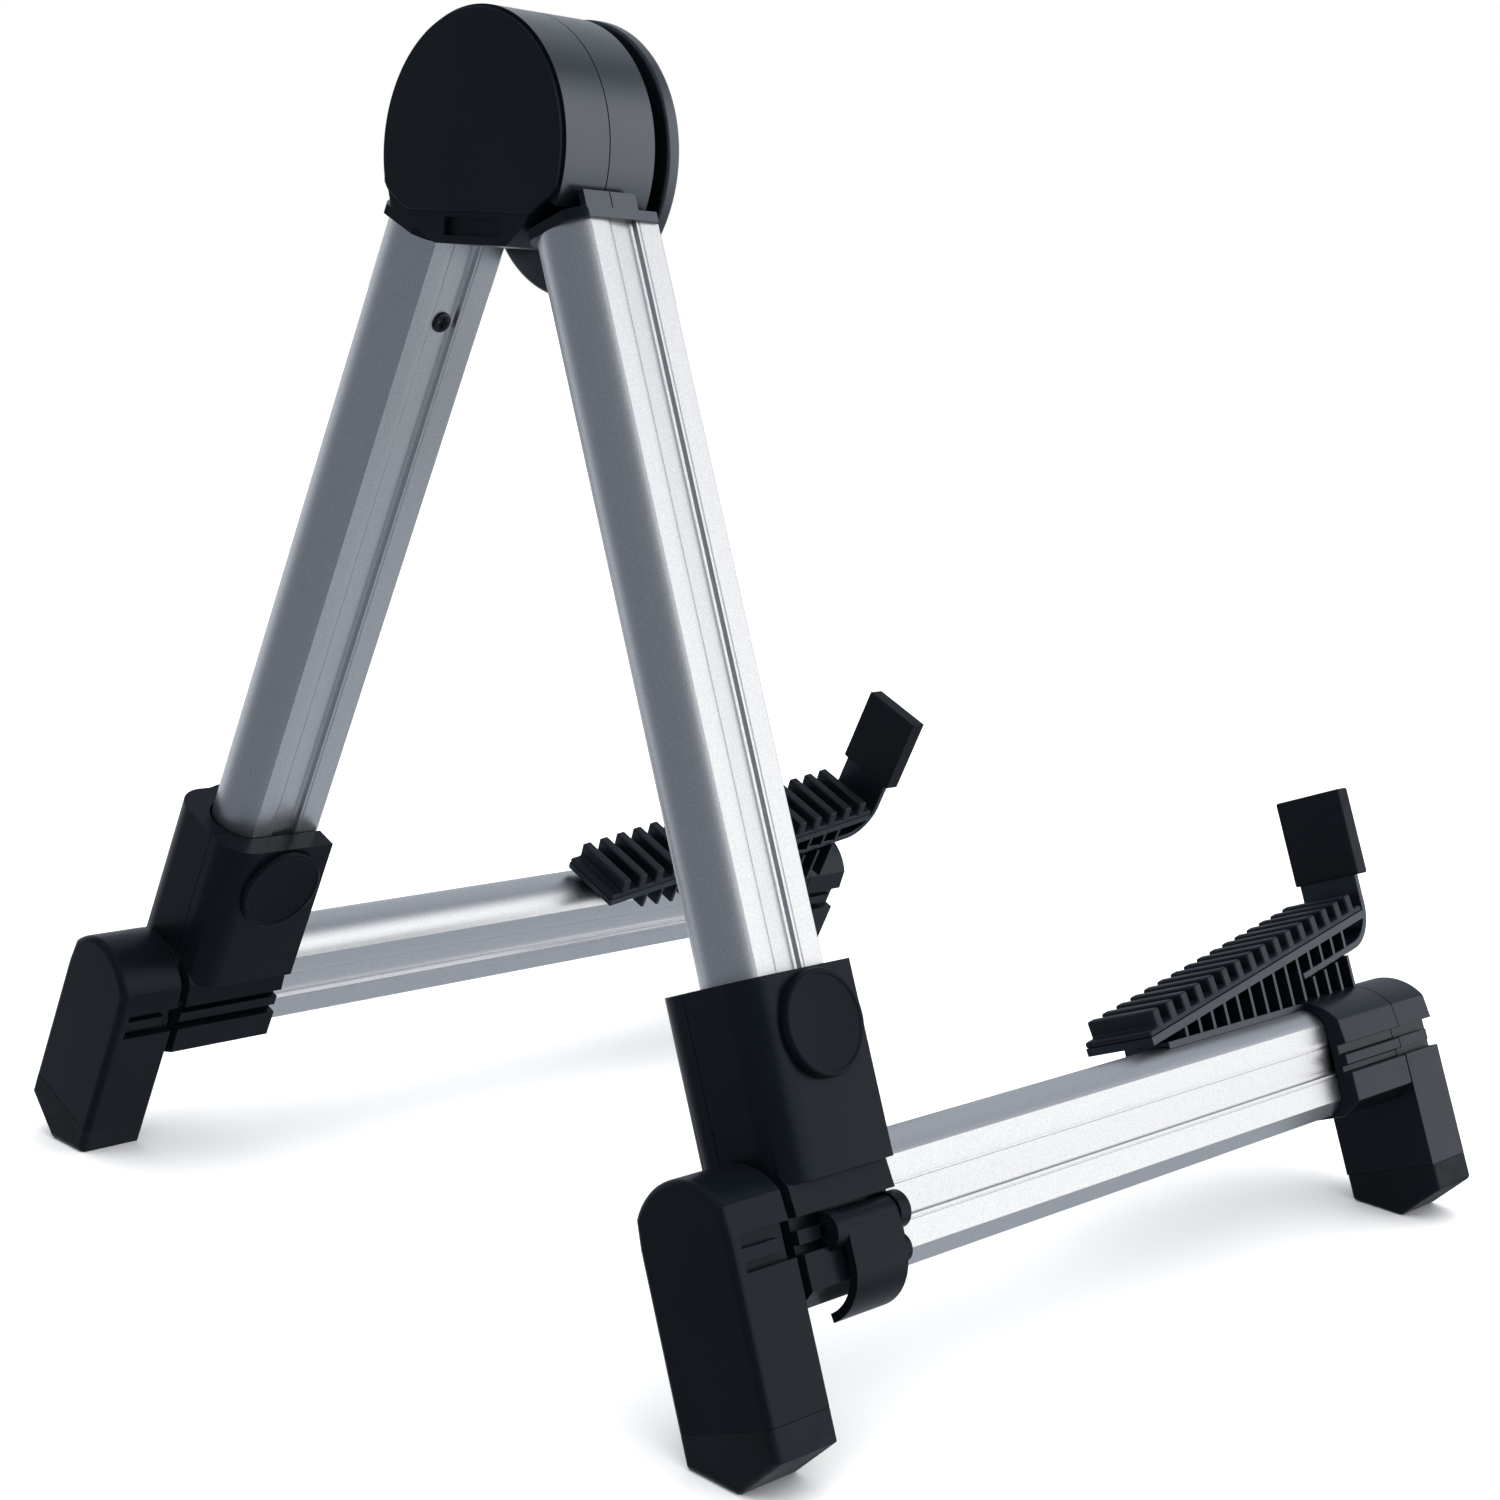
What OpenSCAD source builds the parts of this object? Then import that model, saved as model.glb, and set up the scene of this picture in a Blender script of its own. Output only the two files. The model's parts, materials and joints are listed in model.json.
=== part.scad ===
// Folding A-frame guitar stand. Two legs meet in a hinge drum at the top, and an
// arm with a toothed cradle folds forward from the bottom of each leg.
// +Z is up, the lips face -Y, and the origin is the middle of the box on the floor.

/* [Frame] */
// Angle of each leg from upright when the stand is open, in degrees
splay = 22.8; // [21:0.1:24]
// Depth from the back face of the rear feet to the front of the lips
stand_depth = 302; // [298:1:310]
// Distance down the leg from the hinge axis to the lowest edge of the feet
leg_length = 316.2; // [314:0.1:319]
// Sideways distance from the hinge axis to the middle of a leg
leg_offset = 18.8; // [18.7:0.1:20]

/* [Rail] */
// Half of the thickness of the aluminium rail
rail_half = 9.3; // [9.2:0.05:9.35]
// Depth of the aluminium rail from its round nose to its flat edge
rail_depth = 31.8; // [31.5:0.1:32]
// Wall of the aluminium rail
rail_wall = 1.6; // [1.4:0.1:1.8]

/* [Hinge] */
// Radius of the hinge drum
drum_r = 33.7; // [33:0.1:34]
// Radius of the hinge bolt
bolt_r = 4; // [3.5:0.1:4.5]

/* [Cradle] */
// Slope of the cradle plate, in degrees
cradle_slope = 9.5; // [9:0.1:10]
// Number of teeth on the cradle pad
tooth_count = 16; // [12:1:18]
// Height of the lip above the floor side of its rubber cap
lip_height = 26.5; // [22:0.5:28]

/* [Hidden] */
$fn = 96;

plastic = "#1c2027";
rubber = "#121417";
silver = "#c4c7cb";
steel = "#8d9196";

hinge_z = leg_length * cos(splay) - leg_offset * sin(splay);

// Rail section: round nose, straight sides with a groove, chamfered flat edge
nose_r = 10.4;
nose_drop = 6;
edge_half = 5.1;
chamfer = 4.2;
groove_top = 12;
groove_w = 8;
groove_deep = 1.4;
groove_shallow = 0.5;
fit = 0.05;
slide_gap = 0.3;

// Leg, measured down the leg (w) and forward of the rear feet (negative y)
leg_rear = -25.7;
collar_w = [25.3, 27.9];
leg_top = 27.9;
leg_bottom = 213;
head_plug_end = 74;
tail_plug_top = 186;
screw_at = [-41.5, 50];
screw_seat = -8.1;
screw_head_r = 2.8;

// Drum, along y
cover_rear = -24.0;
drum_rear = -25.4;
drum_seam = -39.0;
seam_gap = 0.3;
drum_front = -53.7;
boss_front = -58;
boss_r = 20;
bumper_front = -62;
bumper_r = 34;
relief_r = 26.4;
relief_from = 202;
relief_to = 278;
drum_flat = 22.6;
nut_seat = -49.5;
head_recess = [-11.4, 9.4];
head_recess_w = [16.2, 20.6];
washer_r = 8;
bolt_head_r = 7;

// Knuckle at the bottom of the leg
pivot = [-40, 221.4];
pivot_r = 4;
tail_r = 14;
cap_r = 12.5;
cap_faces = [18.4, 19];
pin_half = 13.5;
pin_head = 1.8;
socket_half = 16.5;
socket_y = [-20.7, -54.5];
socket_w = [208.3, 254.5];
channel_half = 9.6;
channel_rear = -25.4;
channel_end = 241.3;
rim_end = 219;
socket_round = 9;

// Sleeve section round the arm
arm_top = 249.2;
arch_top = 247.3;
band_top = 254.7;
arch_half = 14;
arch_rise = band_top - arch_top;
arch_r = (arch_half * arch_half + arch_rise * arch_rise) / (2 * arch_rise);
band_half = 14.8;
slot_half = 11.8;
slot_w = [261.5, 269.7];
rib_half = 13.8;
rib_w = [264.5, 267.6];
low_band_half = 14.6;
low_band_end = 278;
keel_half = 8.7;
keel = 282;
sleeve_y = [-21.6, -54.5];

// Latch on the outer side of the sleeve
latch = [13.8, 266.5];
latch_pin_r = 1.5;
latch_roll_r = 4;
latch_y = [-33.3, -50.7];
lug_r = 4.5;
lug_y = [-29.7, -54.5];
lever_bend = [4.9, 274.5];
lever_bend_r = 13;
lever_skin = 2.2;
lever_end = 80;

// Feet
foot_half = 14.75;
foot_depth = 19;
foot_front = 300;
shoe_seam = 302.5;
rail_inset = 6;
front_sleeve_y = [-251, -281];
screw_r = 1.5;

// Cradle
cradle_u = [-18.4, 4.2];
plate_back = [-177, 248];
plate_front = -295;
plate_base = 2.2;
pad_base = 1.8;
tooth_h = 4.7;
tooth_w = 3.4;
web_rear = -183.5;
web_front = -281;
web_u = [-8, -6];
rib_t = 1.2;
rib_pitch = 6.7;
strip_t = 2.2;
strip_u = [-17, 2.7];
strip_bend_r = 12;
strip_y = -297.6;
strip_tail = [-257, 241];
lip_y = [-296.2, -302];
lip_low = 215.5;

// Helpers: w runs down the leg, u outward across it, y is negative to the front

module leg_frame() {
    translate([0, stand_depth / 2, hinge_z]) rotate([0, -splay, 0])
        translate([leg_offset, 0, 0]) children();
}

module right_side() {
    leg_frame() children();
}

module left_side() {
    mirror([1, 0, 0]) leg_frame() children();
}

module hinge_frame() {
    translate([0, stand_depth / 2, hinge_z]) children();
}

module span_w(w1, w2) {
    translate([0, 0, -w2]) linear_extrude(w2 - w1) children();
}

module span_y(y1, y2) {
    translate([0, y1, 0]) rotate([90, 0, 0]) linear_extrude(y1 - y2) children();
}

module span_u(u1, u2) {
    translate([u1, 0, 0]) rotate([90, 0, 90]) linear_extrude(u2 - u1) children();
}

module rod_u(u1, u2, y, w, r) {
    translate([u1, y, -w]) rotate([0, 90, 0]) cylinder(r = r, h = u2 - u1);
}

module rod_y(y1, y2, u, w, r) {
    translate([u, y1, -w]) rotate([90, 0, 0]) cylinder(r = r, h = y1 - y2);
}

module rod_w(w1, w2, u, y, r) {
    translate([u, y, -w2]) cylinder(r = r, h = w2 - w1);
}

module block(u, y, w) {
    translate([u[0], y[1], -w[1]]) cube([u[1] - u[0], y[0] - y[1], w[1] - w[0]]);
}

// Rail section with its nose at the origin, facing up the page
module rail_outline(inset = 0) {
    half = rail_half - inset;
    intersection() {
        translate([0, -nose_r]) circle(r = nose_r - inset);
        translate([-half, -nose_drop - 1]) square([2 * half, nose_drop + 2]);
    }
    polygon([
        [-half, -nose_drop], [-half, -(rail_depth - chamfer)],
        [-(edge_half - inset / 2), -(rail_depth - inset)],
        [edge_half - inset / 2, -(rail_depth - inset)],
        [half, -(rail_depth - chamfer)], [half, -nose_drop],
    ]);
}

module rail_grooves(depth, grow) {
    for (s = [-1, 1])
        translate([s * (rail_half + 1) - (rail_half + 1 - (rail_half - depth)), 0])
            translate([0, -groove_top - groove_w - grow])
                square([2 * (1 + depth), groove_w + 2 * grow]);
}

// Cut on both sides whose floor slopes deeper towards the flat edge
module groove_cuts() {
    for (s = [0, 1]) mirror([s, 0]) polygon([
        [rail_half + 1, -groove_top], [rail_half - groove_shallow, -groove_top],
        [rail_half - groove_deep, -groove_top - groove_w],
        [rail_half + 1, -groove_top - groove_w],
    ]);
}

module rail_core(slack = 0) {
    difference() {
        rail_outline(rail_wall + slack);
        rail_grooves(groove_deep + 1.2 + slack, rail_wall + slack);
    }
}

module rail_section() {
    difference() {
        rail_outline();
        groove_cuts();
        rail_core();
    }
}

// Hinge head and its parts

module relief(start, stop, y1, y2) {
    reach = 60;
    middle = (start + stop) / 2;
    span_y(y1, y2) difference() {
        polygon([
            [0, 0], reach * [cos(start), sin(start)],
            reach * [cos(middle), sin(middle)], reach * [cos(stop), sin(stop)],
        ]);
        circle(r = relief_r);
    }
}

// Half of the drum for the right leg: flat underneath, and ending at the collar's plane
module half_drum(y1, y2) {
    intersection() {
        hinge_frame() rod_y(y1, y2, 0, 0, drum_r);
        hinge_frame() block([-40, 40], [y1, y2], [-40, drum_flat]);
        right_side() block([-80, 80], [y1, y2], [-60, collar_w[0] + 0.5]);
    }
}

module collar() {
    span_w(collar_w[0], collar_w[1]) intersection() {
        translate([0, leg_rear + 0.8]) rail_outline(-1);
        translate([-15, leg_rear - 32]) square([30, 32]);
    }
    span_w(leg_top, head_plug_end) translate([0, leg_rear]) rail_core(0.1);
    for (y = [-30, -38.5])
        block([8.4, 10.3], [y, y - 8.2], [21.3, collar_w[0] + 0.5]);
}

module screw_bore() {
    rod_u(-9, -1, screw_at[0], screw_at[1], 1.4);
}

module right_hinge_head() {
    color(plastic) difference() {
        union() {
            half_drum(drum_rear, drum_seam);
            right_side() collar();
        }
        hinge_frame() relief(relief_from, relief_to, drum_rear + 1, drum_seam - 1);
        hinge_frame() rod_y(0, -50, 0, 0, bolt_r + 0.05);
        hinge_frame() rod_y(0, -31.1, 0, 0, washer_r + 0.5);
        hinge_frame() block(head_recess, [drum_rear + 1, drum_rear - 1.6], head_recess_w);
        right_side() screw_bore();
    }
}

module left_hinge_head() {
    color(plastic) difference() {
        union() {
            mirror([1, 0, 0]) half_drum(drum_seam - seam_gap, drum_front);
            hinge_frame() rod_y(drum_front, boss_front, 0, 0, boss_r);
            left_side() collar();
        }
        hinge_frame() mirror([1, 0, 0])
            relief(relief_from, relief_to, drum_seam, drum_front - 1);
        hinge_frame() rod_y(0, -60, 0, 0, bolt_r + 0.02);
        hinge_frame() rod_y(nut_seat, -60, 0, 0, washer_r + 0.1);
        left_side() screw_bore();
    }
}

module rear_cover() {
    color(plastic) hinge_frame() span_y(cover_rear, drum_rear) intersection() {
        circle(r = drum_r - 0.8);
        polygon([
            [-32, -9.5], [-23, -14.8], [23, -14.8], [32, -9.5],
            [40, -9.5], [40, 40], [-40, 40], [-40, -9.5],
        ]);
    }
}

module front_bumper() {
    color(rubber) hinge_frame() rod_y(boss_front, bumper_front, 0, 0, bumper_r);
}

module hinge_bolt() {
    color(steel) hinge_frame() {
        rod_y(-26, -30, 0, 0, bolt_head_r);
        rod_y(-30, nut_seat - 6.2, 0, 0, bolt_r);
    }
}

module hinge_nut() {
    color(steel) hinge_frame() difference() {
        translate([0, nut_seat - 1, 0]) rotate([90, 0, 0]) cylinder(r = 7.5, h = 5, $fn = 6);
        rod_y(nut_seat, nut_seat - 7, 0, 0, bolt_r + 0.02);
    }
}

module hinge_washers() {
    color(steel) hinge_frame() for (y = [-30, nut_seat]) difference() {
        rod_y(y, y - 1, 0, 0, washer_r);
        rod_y(y + 1, y - 2, 0, 0, bolt_r + 0.02);
    }
}

// Leg

module leg_tube() {
    color(silver) difference() {
        span_w(leg_top, leg_bottom) translate([0, leg_rear]) rail_section();
        rod_u(-10, -5, screw_at[0], screw_at[1], screw_r);
        rod_u(-10, screw_seat, screw_at[0], screw_at[1], screw_head_r + fit);
    }
}

module leg_screw() {
    color(steel) {
        rod_u(screw_seat - 1.2, screw_seat, screw_at[0], screw_at[1], screw_head_r);
        rod_u(screw_seat, -2, screw_at[0], screw_at[1], 1.38);
    }
}

module pivot_plug() {
    color(plastic) difference() {
        union() {
            span_w(tail_plug_top, leg_bottom) translate([0, leg_rear]) rail_core(0.1);
            intersection() {
                span_w(leg_bottom, pivot[1] + tail_r) translate([0, leg_rear]) rail_outline();
                union() {
                    rod_u(-rail_half, rail_half, pivot[0], pivot[1], tail_r);
                    block([-rail_half, rail_half], [pivot[0] + tail_r, pivot[0] - tail_r],
                        [leg_bottom, pivot[1]]);
                }
            }
        }
        rod_u(-20, 20, pivot[0], pivot[1], pivot_r + 0.05);
    }
}

// Knuckle, its pivot and its latch

module socket_outline() {
    inner = socket_half - socket_round;
    for (s = [-1, 1])
        translate([s * inner, socket_y[0] - socket_round]) circle(r = socket_round);
    translate([-inner, socket_y[0] - socket_round])
        square([2 * inner, socket_round]);
    translate([-socket_half, socket_y[1]])
        square([2 * socket_half, socket_y[0] - socket_round - socket_y[1]]);
}

module sleeve_outline() {
    difference() {
        polygon([
            for (s = [1, -1]) for (p = s > 0 ? band_points() : reversed(band_points()))
                [s * p[0], -p[1]],
        ]);
        arch_corners();
    }
}

// What is cut off the top of a sleeve or foot to leave its arch
module arch_corners() {
    difference() {
        translate([-20, -band_top]) square([40, arch_rise + 5]);
        translate([0, -(arch_top + arch_r)]) circle(r = arch_r);
    }
}

function band_points() = [
    [arch_half, arch_top - 1], [arch_half, band_top], [band_half, slot_w[0]], [slot_half, slot_w[0]],
    [slot_half, rib_w[0]], [rib_half, rib_w[0]], [rib_half, rib_w[1]],
    [slot_half, rib_w[1]], [slot_half, slot_w[1]], [low_band_half, slot_w[1]],
    [low_band_half, low_band_end], [keel_half, keel],
];
function reversed(list) = [for (i = [len(list) - 1:-1:0]) list[i]];

module knuckle() {
    color(plastic) difference() {
        union() {
            span_w(socket_w[0], socket_w[1]) socket_outline();
            span_y(sleeve_y[0], sleeve_y[1]) sleeve_outline();
            rod_y(lug_y[0], latch_y[0] + 0.3, latch[0], latch[1], lug_r);
            rod_y(latch_y[1] - 0.3, lug_y[1], latch[0], latch[1], lug_r);
            rod_y(latch_y[1] - 0.3, lug_y[1], 12.6, 275.3, 3.5);
        }
        span_w(socket_w[0] - 1, rim_end) translate([0, leg_rear + 0.35]) rail_outline(-0.35);
        block([-channel_half, channel_half], [channel_rear, -70], [rim_end, channel_end]);
        block([-channel_half, channel_half], [leg_rear - nose_drop, -70],
            [socket_w[0] - 1, channel_end]);
        span_y(0, -80) translate([0, -(arm_top - slide_gap)]) rail_outline(-slide_gap);
        rod_u(-channel_half, channel_half, pivot[0], pivot[1], tail_r + 0.4);
        rod_y(latch_y[0] + 0.3, latch_y[1] - 0.3, latch[0], latch[1], latch_roll_r + 0.4);
        block([latch[0], 20], [latch_y[0] + 0.3, latch_y[1] - 0.3],
            [latch[1] - 4.4, slot_w[1]]);
        rod_y(lug_y[0] + 1, lug_y[1] + 1.5, latch[0], latch[1], latch_pin_r + 0.02);
        rod_u(-20, 20, pivot[0], pivot[1], pivot_r + 0.02);
        rod_u(-20, -pin_half, pivot[0], pivot[1], 8);
        rod_u(pin_half, 20, pivot[0], pivot[1], 8);
    }
}

module pivot_pin() {
    color(steel) {
        rod_u(-pin_half, pin_half, pivot[0], pivot[1], pivot_r);
        rod_u(-pin_half - pin_head, -pin_half, pivot[0], pivot[1], 6);
        rod_u(pin_half, pin_half + pin_head, pivot[0], pivot[1], 6);
    }
}

module pivot_cap(face) {
    color(plastic) difference() {
        union() {
            rod_u(socket_half, face, pivot[0], pivot[1], cap_r);
            rod_u(pin_half + 0.1, socket_half, pivot[0], pivot[1], 7.9);
        }
        rod_u(13, socket_half - 0.6, pivot[0], pivot[1], 6.3);
    }
}

module outer_pivot_cap() {
    pivot_cap(cap_faces[1]);
}

module inner_pivot_cap() {
    mirror([1, 0, 0]) pivot_cap(cap_faces[0]);
}

module latch_pin() {
    color(steel) rod_y(lug_y[0] - 0.3, lug_y[1] + 1.6, latch[0], latch[1], latch_pin_r);
}

module latch_lever() {
    outer = lever_bend[0] + lever_bend_r;
    color(plastic) difference() {
        span_y(latch_y[0], latch_y[1]) {
            translate([latch[0], -latch[1]]) circle(r = latch_roll_r);
            translate([outer - lever_skin, -lever_bend[1]])
                square([lever_skin, lever_bend[1] - latch[1]]);
            intersection() {
                translate([lever_bend[0], -lever_bend[1]]) difference() {
                    circle(r = lever_bend_r);
                    circle(r = lever_bend_r - lever_skin);
                }
                translate([lever_bend[0], -lever_bend[1]]) polygon([
                    [0, 0], [30, 0], [30, -30], 30 * [cos(lever_end), -sin(lever_end)],
                ]);
            }
        }
        rod_y(0, -80, latch[0], latch[1], latch_pin_r + 0.05);
    }
}

// Arm with its feet

module arm_rail() {
    color(silver) difference() {
        span_y(-rail_inset, rail_inset - foot_front) translate([0, -arm_top]) rail_section();
        for (y = [-rail_inset - 6, rail_inset + 6 - foot_front])
            rod_w(275, 285, 0, y, screw_r);
    }
}

module foot_outline() {
    difference() {
        polygon([
            [-arch_half, 1 - arch_top], [-arch_half, -band_top], [-foot_half, -slot_w[0]],
            [-foot_half, -shoe_seam], [foot_half, -shoe_seam], [foot_half, -slot_w[0]],
            [arch_half, -band_top], [arch_half, 1 - arch_top],
        ]);
        arch_corners();
    }
}

// Side slot with the small raised rib, between y1 and y2, the rib ending at rib_y
module foot_slots(y1, y2, rib_y1, rib_y2) {
    for (s = [0, 1]) mirror([s, 0, 0]) difference() {
        block([slot_half, 20], [y1, y2], slot_w);
        block([0, rib_half], [rib_y1, rib_y2], rib_w);
    }
}

module foot_screw_bore(y) {
    rod_w(281, 304, 0, y, screw_r + 0.02);
    rod_w(296, 304, 0, y, 3.2);
}

module rear_foot() {
    color(plastic) difference() {
        span_y(0, -foot_depth) foot_outline();
        span_y(-rail_inset, -foot_depth - 1) translate([0, fit - arm_top]) rail_outline(-fit);
        foot_slots(-3.5, -foot_depth - 1, -3, -foot_depth + 3);
        foot_screw_bore(-rail_inset - 6);
    }
}

module front_foot() {
    color(plastic) difference() {
        span_y(foot_depth - foot_front, -foot_front) foot_outline();
        span_y(-foot_front + foot_depth + 1, rail_inset - foot_front)
            translate([0, fit - arm_top]) rail_outline(-fit);
        foot_slots(-foot_front + foot_depth + 1, -foot_front - 1,
            -foot_front + foot_depth + 2, -foot_front + 3.4);
        foot_screw_bore(rail_inset + 6 - foot_front);
    }
}

module shoe(y) {
    rise = foot_half * tan(splay);
    color(rubber) span_y(y, y - foot_depth) polygon([
        [-foot_half, -shoe_seam], [-foot_half, rise - leg_length], [0, -leg_length],
        [foot_half, rise - leg_length], [foot_half, -shoe_seam],
    ]);
}

module rear_shoe() {
    shoe(0);
}

module front_shoe() {
    shoe(foot_depth - foot_front);
}

module foot_screws() {
    color(steel) for (y = [-rail_inset - 6, rail_inset + 6 - foot_front]) {
        rod_w(277, 296, 0, y, screw_r - 0.02);
        rod_w(296, 298.5, 0, y, 3);
    }
}

module front_sleeve() {
    color(plastic) difference() {
        span_y(front_sleeve_y[0], front_sleeve_y[1]) sleeve_outline();
        span_y(-240, -290) translate([0, fit - arm_top]) rail_outline(-fit);
    }
}

// Cradle

module on_slope() {
    translate([0, plate_back[0], -plate_back[1]]) rotate([-cradle_slope, 0, 0]) children();
}

plate_len = (plate_back[0] - plate_front) / cos(cradle_slope) - 1;
bend = [strip_y + strip_bend_r,
    -strip_tail[1] + tan(cradle_slope) * (strip_tail[0] - strip_y - strip_bend_r
        + strip_bend_r * sin(cradle_slope)) + strip_bend_r * cos(cradle_slope)];

// Side view of the lip bracket, grown by slack on every side
module strip_outline(slack = 0) {
    half = strip_t / 2 + slack;
    foot_point = bend + strip_bend_r * [-sin(cradle_slope), -cos(cradle_slope)];
    tail_len = (strip_tail[0] - foot_point[0]) / cos(cradle_slope);
    translate(foot_point) rotate(-cradle_slope)
        translate([0, -half]) square([tail_len + slack, 2 * half]);
    intersection() {
        translate(bend) difference() {
            circle(r = strip_bend_r + half);
            circle(r = strip_bend_r - half);
        }
        translate(bend) polygon([
            [0, 0], 40 * [-sin(cradle_slope), -cos(cradle_slope)], [-40, -40], [-40, 0],
        ]);
    }
    translate([strip_y - half, bend[1]]) square([2 * half, -bend[1] - lip_low + lip_height - 3]);
}

module cradle_base() {
    color(plastic) difference() {
        union() {
            on_slope() block(cradle_u, [0, -plate_len], [-plate_base, 0]);
            difference() {
                union() {
                    block(web_u, [web_rear, web_front], [200, 251]);
                    for (y = [web_front + rib_t:rib_pitch:web_rear - 4])
                        block([cradle_u[0] + 0.4, cradle_u[1] - 0.4], [y, y - rib_t], [200, 251]);
                    span_y(web_rear, web_front) intersection() {
                        translate([0, -arm_top]) rail_outline(-1.9);
                        translate([-rail_half, -252.4]) square([rail_half + cradle_u[1], 6]);
                    }
                }
                on_slope() block([-40, 40], [100, -200], [-100, -0.01]);
                span_u(-40, 40) strip_outline(fit);
            }
        }
        span_y(-150, -300) translate([0, fit - arm_top]) rail_outline(-fit);
        span_y(front_sleeve_y[0] + fit, -290)
            translate([0, -(arch_top + arch_r)]) circle(r = arch_r + fit);
    }
}

module cradle_pad() {
    top = plate_base + pad_base;
    pitch = (plate_len - 4) / tooth_count;
    color(rubber) on_slope() {
        block(cradle_u, [0, -plate_len], [-top, -plate_base]);
        for (i = [0:tooth_count - 1])
            translate([0, -2 - (i + 0.5) * pitch, 0])
                block(cradle_u, [tooth_w / 2, -tooth_w / 2], [-top - tooth_h, -top + 0.1]);
    }
}

module lip_bracket() {
    color(plastic) span_u(strip_u[0], strip_u[1]) strip_outline();
}

module lip_cap() {
    color(rubber) difference() {
        block(cradle_u, lip_y, [lip_low - lip_height, lip_low]);
        span_u(strip_u[0] - fit, strip_u[1] + fit) strip_outline(fit);
    }
}

right_hinge_head();
left_hinge_head();
rear_cover();
front_bumper();
hinge_bolt();
hinge_nut();
hinge_washers();
left_side() leg_tube();  // left_leg_tube
left_side() leg_screw();  // left_leg_screw
left_side() pivot_plug();  // left_pivot_plug
left_side() knuckle();  // left_knuckle
left_side() pivot_pin();  // left_pivot_pin
left_side() outer_pivot_cap();  // left_outer_pivot_cap
left_side() inner_pivot_cap();  // left_inner_pivot_cap
left_side() latch_pin();  // left_latch_pin
left_side() latch_lever();  // left_latch_lever
left_side() arm_rail();  // left_arm_rail
left_side() rear_foot();  // left_rear_foot
left_side() rear_shoe();  // left_rear_shoe
left_side() front_sleeve();  // left_front_sleeve
left_side() front_foot();  // left_front_foot
left_side() front_shoe();  // left_front_shoe
left_side() foot_screws();  // left_foot_screws
left_side() cradle_base();  // left_cradle_base
left_side() cradle_pad();  // left_cradle_pad
left_side() lip_bracket();  // left_lip_bracket
left_side() lip_cap();  // left_lip_cap
right_side() leg_tube();  // right_leg_tube
right_side() leg_screw();  // right_leg_screw
right_side() pivot_plug();  // right_pivot_plug
right_side() knuckle();  // right_knuckle
right_side() pivot_pin();  // right_pivot_pin
right_side() outer_pivot_cap();  // right_outer_pivot_cap
right_side() inner_pivot_cap();  // right_inner_pivot_cap
right_side() latch_pin();  // right_latch_pin
right_side() latch_lever();  // right_latch_lever
right_side() arm_rail();  // right_arm_rail
right_side() rear_foot();  // right_rear_foot
right_side() rear_shoe();  // right_rear_shoe
right_side() front_sleeve();  // right_front_sleeve
right_side() front_foot();  // right_front_foot
right_side() front_shoe();  // right_front_shoe
right_side() foot_screws();  // right_foot_screws
right_side() cradle_base();  // right_cradle_base
right_side() cradle_pad();  // right_cradle_pad
right_side() lip_bracket();  // right_lip_bracket
right_side() lip_cap();  // right_lip_cap
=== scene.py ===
"""Looks of the folding guitar stand: rounded mouldings, satin rails and black rubber."""

import json
import math

import bmesh
import bpy
from mathutils import Matrix, Vector

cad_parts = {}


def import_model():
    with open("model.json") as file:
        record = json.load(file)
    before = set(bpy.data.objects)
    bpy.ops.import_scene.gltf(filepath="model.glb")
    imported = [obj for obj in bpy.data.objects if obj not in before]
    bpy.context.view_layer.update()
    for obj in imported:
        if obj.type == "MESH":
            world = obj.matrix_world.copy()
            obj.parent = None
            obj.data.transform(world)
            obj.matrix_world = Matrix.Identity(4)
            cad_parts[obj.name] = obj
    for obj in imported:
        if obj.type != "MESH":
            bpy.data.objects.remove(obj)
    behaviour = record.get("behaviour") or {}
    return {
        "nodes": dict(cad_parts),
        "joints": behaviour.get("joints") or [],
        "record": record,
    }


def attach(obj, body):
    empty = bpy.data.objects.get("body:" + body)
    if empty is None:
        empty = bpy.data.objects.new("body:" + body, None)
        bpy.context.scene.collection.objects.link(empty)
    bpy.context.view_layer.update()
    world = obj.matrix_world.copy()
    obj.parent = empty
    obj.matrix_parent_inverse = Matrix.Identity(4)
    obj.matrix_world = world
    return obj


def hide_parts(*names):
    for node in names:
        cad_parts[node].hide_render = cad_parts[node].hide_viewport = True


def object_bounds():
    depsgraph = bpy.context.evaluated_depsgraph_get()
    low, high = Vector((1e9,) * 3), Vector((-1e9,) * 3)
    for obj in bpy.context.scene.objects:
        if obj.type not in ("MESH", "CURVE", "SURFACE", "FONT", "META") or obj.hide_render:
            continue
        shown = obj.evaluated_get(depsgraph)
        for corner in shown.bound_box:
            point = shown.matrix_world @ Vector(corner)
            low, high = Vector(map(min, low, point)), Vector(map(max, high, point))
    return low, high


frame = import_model()
cad_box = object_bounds()

MM = 0.001
RECORD = frame["record"]
JOINTS = {j["name"]: j for j in frame["joints"]}
BODY_OF = {n: b for b, members in RECORD["behaviour"]["bodies"].items() for n in members}
SLOT_OF = {s["node"]: s["material_slot"] for s in RECORD["subparts"]}
SIDES = {"left": -1, "right": 1}

# ---------------------------------------------------------------- leg frames from the joints

fold = JOINTS["right_arm_fold"]
SPLAY = math.atan2(-fold["axis"][2], -fold["axis"][0])
HINGE = Vector(JOINTS["top_hinge"]["pos_m"])
PIVOT = Vector(fold["pos_m"])
OFFSET = PIVOT.x * math.cos(SPLAY) + (PIVOT.z - HINGE.z) * math.sin(SPLAY)
PIVOT_DOWN = PIVOT.x * math.sin(SPLAY) - (PIVOT.z - HINGE.z) * math.cos(SPLAY)
BACK = Vector(cad_box[1]).y


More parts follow.
